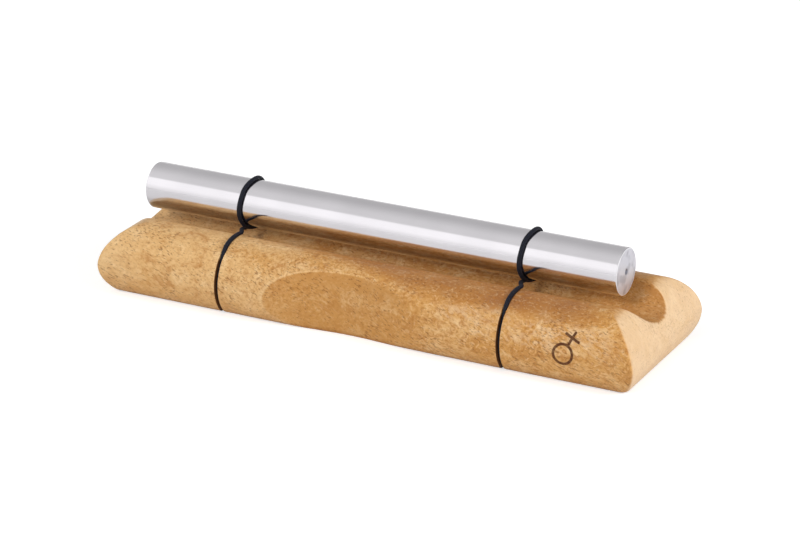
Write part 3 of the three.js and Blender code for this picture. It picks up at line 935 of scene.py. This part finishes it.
def ringPath():
    # The cord's whole way as (x, y, z, how free it is of the kerf): the straight front stretch from the
    # crest to under the rod, one turn round the rod, the straight back stretch, and the run down the back,
    # under the block and up the front. Each part is a line or an arc that starts in the direction in which
    # the last one ended.
    crestY, crestZ = base["crestY"], base["crestZ"]
    leave = (crestY + crestPath * math.cos(leaveAngle), crestZ + crestPath * math.sin(leaveAngle))
    meet = (-wrapRadius * math.sin(spanSlope), rodPlace["height"] - wrapRadius * math.cos(spanSlope))
    spanShare = sampled(math.hypot(leave[0] - meet[0], leave[1] - meet[1]))
    lineY = -leave[0] + (leave[0] - meet[0]) * spanShare
    lineZ = leave[1] + (meet[1] - leave[1]) * spanShare
    wholly = np.ones_like(lineY)
    front = np.stack([leanAt(cord["frontLeans"], spanShare), lineY, lineZ, wholly], -1)
    back = np.stack([leanAt(cord["backLeans"], spanShare), -lineY[::-1], lineZ[::-1], wholly], -1)
    turnShare = sampled(2 * math.pi * wrapRadius)
    angle = -spanSlope + (2 * spanSlope - 2 * math.pi) * turnShare
    turn = np.stack([leanAt(cord["turnLeans"], turnShare), -wrapRadius * np.sin(angle),
                     rodPlace["height"] - wrapRadius * np.cos(angle), np.ones_like(angle)], -1)

    crestShare = sampled(crestPath * (leaveAngle - math.pi / 2))
    crestTurn = leaveAngle + (math.pi / 2 - leaveAngle) * crestShare
    crest = np.stack([crestY + crestPath * np.cos(crestTurn), crestZ + crestPath * np.sin(crestTurn),
                      np.ones_like(crestTurn)], -1)
    deep = base["kerfDepth"] - cord["kerfHeight"] / 2
    footAngle = math.asin((deep - base["widest"]) / (base["edgeRound"] - deep))
    sideShare = sampled(base["edgeRound"] * (math.pi / 2 - footAngle))
    sideTurn = math.pi / 2 + (footAngle - math.pi / 2) * sideShare
    free = smoothStep(np.degrees(sideTurn), base["kerfShallow"], base["kerfEnd"])
    radius = base["edgeRound"] - deep * (1 - free) + cord["rise"] * free
    sideY = base["coreY"] + radius * np.cos(sideTurn)
    side = np.stack([sideY, base["widest"] + radius * np.sin(sideTurn), free], -1)
    underShare = sampled(sideY[-1])
    under = np.stack([sideY[-1] * (1 - underShare), np.full_like(underShare, deep), 0 * underShare], -1)
    down = np.concatenate([crest[:-1], side[:-1], under])
    run = np.concatenate([down[:-1], down[::-1] * (-1, 1, 1)])
    run = np.concatenate([np.zeros((len(run), 1)), run], -1)
    run[:, 1:3] = roundedCorners(run[:, 1:3])
    parts = [front, turn, back, run]
    starts = np.cumsum([0] + [len(part) - 1 for part in parts])
    return np.concatenate([part[:-1] for part in parts]), starts


def roundedCorners(points):
    # Under the block a moving average over 3 mm rounds the two corners where the cord turns in.
    window = np.hanning(cord["cornerPoints"])
    window /= window.sum()
    half = cord["cornerPoints"] // 2
    soft = [np.convolve(np.pad(points[:, k], half, mode="edge"), window, mode="valid") for k in range(2)]
    share = smoothStep(points[:, 1], *cord["cornerHeights"])[:, None]
    return points * (1 - share) + np.stack(soft, -1) * share


def cordRings(path):
    # A ring of points round each place of the closed path, square to it. The width lies along X as nearly
    # as the path allows. Strands of a braid raise the surface: two families of slanting waves, each on top
    # by turns.
    points = path[:, :3]
    ahead = np.roll(points, -1, 0) - np.roll(points, 1, 0)
    ahead /= np.linalg.norm(ahead, axis=1)[:, None]
    side = np.array([1.0, 0, 0]) - ahead[:, :1] * ahead
    side /= np.linalg.norm(side, axis=1)[:, None]
    up = np.cross(ahead, side)
    lengths = np.linalg.norm(np.roll(points, -1, 0) - points, axis=1)
    way = np.concatenate([[0], np.cumsum(lengths)])
    turns = round(way[-1] / cord["pitch"])
    angle = circleAngles(cord["sides"])
    slant = 2 * math.pi * turns * way[:-1, None] / way[-1]
    forward = cord["strands"] * (angle[None, :] + slant)
    backward = cord["strands"] * (angle[None, :] - slant)
    crossing = np.sin((forward + backward) / 4 + math.pi / 8) * np.sin((forward - backward) / 4)
    over = 0.5 + 0.5 * np.tanh(cord["crossing"] * crossing)
    ridge = over * np.abs(np.cos(forward / 2)) + (1 - over) * np.abs(np.cos(backward / 2))
    width, height = cordHalves(path[:, 3][:, None])
    swell = 1 + cord["relief"] * (ridge - 1)
    offset = (side[:, None, :] * (width * np.cos(angle) * swell)[..., None]
              + up[:, None, :] * (height * np.sin(angle) * swell)[..., None])
    rings = points[:, None, :] + offset
    closed = np.concatenate([rings, rings[:1]])
    return closed, np.concatenate([ridge, ridge[:1]]), way


def makeCordMaterial():
    # Braided elastic: painted shade, near black, in the valleys, dark navy on the strands, with fine fibres
    # along each strand.
    material, n, shader = newMaterial("elastic_cord")
    threads = n.add("UVMap", uv_map="UVMap")
    fibres = n.noise(n.stretched(threads, cord["fibreStretch"]), *cord["fibreNoise"])
    # Painted shade: where the braid's ridge attribute is low, between the strands, the cord turns near
    # black.
    ridge = n.step(n.attribute("ridge"), *cord["ridgeShare"])
    tone = n.mix(ridge, colour(*cord["valleyShade"]), colour(*cord["strandTone"]))
    tone = n.mix(n.step(fibres, *cord["fibreShare"]), tone, colour(*cord["fibreTone"]))
    n.fill(shader, {"Base Color": tone, "Normal": n.bump(fibres, *cord["bump"]), **cord["finish"]})
    return material


def makeCord(name, place, material):
    # The ring's path is shifted to its kerf and cut into four pieces. The two straight stretches run from
    # the kerf's mouth to the loops under the rod and are baked in place without a body, and the other two
    # ride with one body each.
    path, starts = ringPath()
    path = path + (place, 0, 0, 0)
    rings, ridge, way = cordRings(path)
    turn = np.linspace(0, 1, cord["sides"] + 1)
    pieces = {}
    for k, part in enumerate(("front_span", "turn", "back_span", "kerf_run")):
        cut = slice(starts[k], starts[k + 1] + 1)
        piece = meshFromRings(f"{name}_cord_{part}", rings[cut], material,
                              attributes={"ridge": ridge[cut]}, uv=(way[cut] / cord["width"], turn))
        pieces[part] = piece
    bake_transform(pieces["front_span"])
    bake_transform(pieces["back_span"])
    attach(pieces["turn"], "loops")
    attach(pieces["kerf_run"], "base")
    for part in ("front_span", "turn", "back_span"):
        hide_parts(f"{name}_cord_loop")
    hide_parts(f"{name}_cord_run")
    print(f"{name} cord ring: {way[-1]:.0f} mm of cord")


cordMaterial = makeCordMaterial()
for name, place in zip(("left", "right"), base["kerfPlaces"]):
    makeCord(name, place, cordMaterial)
print("cords made")


# Stage and lights

stage = {
    "floorRings": (0.02, 0.2, 0.6, 1.2, 3.5),  # radii in metres
    "floorDrop": 0.1,  # millimetres under the block
    "floorTone": 0.80,
    "glow": 0.50,  # what the floor shows the camera over its lit colour near the object
    "glowAlong": (0.3, 1.2),  # from the middle, where that grows to 1
    "mirrorGlow": 0.10,  # what it shows so in the metal
    "backdrop": (0.05, 0.35, 1.00, 1.20),  # two heights, and how bright it is there
    "backdropTop": (0.1, 0.5, 0.70, 0.08),  # its upper edge, from the front to the back
    "backdropFade": (0.03, -0.03),
    "ceiling": (0.75, -0.35, 0.545, 0.79),  # brighter to the front
    "ambient": 0.48,  # share of the surroundings that lights dull surfaces
}

lamps = {
    "front": {"place": (-0.17, -1.37, 0.99), "size": 0.40, "power": 12.3},
    "right": {"place": (1.60, 0.09, 0.91), "size": 0.55, "power": 17.2},
}


def makeStage():
    # A round white floor: rings about the vertical on a level just under the block. It glows a little for
    # the camera and in the metal, and more so further out.
    material, n, output = emptyMaterial("stage_white")
    path = n.tree.nodes.new("ShaderNodeLightPath")
    tone = stage["floorTone"]
    white = n.add("BsdfDiffuse", {"Color": (tone, tone, tone, 1)})
    fromMiddle = n.add("VectorMath", {0: n.objectPlace()}, output=1, operation="LENGTH")
    shown = n.step(fromMiddle, *stage["glowAlong"], stage["glow"], 1.0)
    glow = n.times(path.outputs["Is Camera Ray"], shown)
    glow = n.plus(glow, n.times(n.mirrored(path), stage["mirrorGlow"]))
    shine = n.add("Emission", {"Strength": glow})
    n.fill(output, {0: n.add("AddShader", {0: white, 1: shine})})
    reach = np.array(stage["floorRings"])[:, None] / mm
    angle = circleAngles(96)
    level = -stage["floorDrop"] + 0 * reach * angle
    rings = np.stack([reach * np.cos(angle), reach * np.sin(angle), level], -1)
    meshFromRings("stage_floor", rings, material, lids=(True, False))


def makeLamp(name, lamp):
    # A square lamp at its place that faces the middle of the scene and isn't seen in the metal.
    data = bpy.data.lights.new(name, "AREA")
    data.size = lamp["size"]
    data.energy = lamp["power"]
    light = newObject(name, data)
    light.location = lamp["place"]
    light.rotation_euler = Vector(lamp["place"]).to_track_quat("Z", "Y").to_euler()
    light.visible_glossy = False


def makeSurroundings():
    # White up to a height that is lower behind, and over it a grey ceiling that is lighter to the front.
    # Dull surfaces take only a share of it, and the camera sees plain white.
    world = bpy.data.worlds.new("surroundings")
    world.use_nodes = True
    bpy.context.scene.world = world
    n = Nodes(world.node_tree)
    background = world.node_tree.nodes["Background"]
    y, z = n.parts(n.add("TexCoord", output="Generated"))[1:]
    ceiling = n.step(y, *stage["ceiling"])
    backdrop = n.step(z, *stage["backdrop"])
    isBackdrop = n.step(n.minus(z, n.step(y, *stage["backdropTop"])), *stage["backdropFade"])
    tone = n.plus(n.times(isBackdrop, n.minus(backdrop, ceiling)), ceiling)
    path = n.tree.nodes.new("ShaderNodeLightPath")
    tone = n.times(tone, n.step(n.mirrored(path), 0.0, 1.0, stage["ambient"], 1.0))
    shown = n.add("Mix", {0: path.outputs["Is Camera Ray"], 2: tone, 3: 1.0})
    n.fill(background, {"Color": (1, 1, 1, 1), "Strength": shown})


makeStage()
for name, lamp in lamps.items():
    makeLamp(f"lamp_{name}", lamp)
makeSurroundings()
bpy.context.scene.view_settings.view_transform = "Standard"
print("stage and lights set")
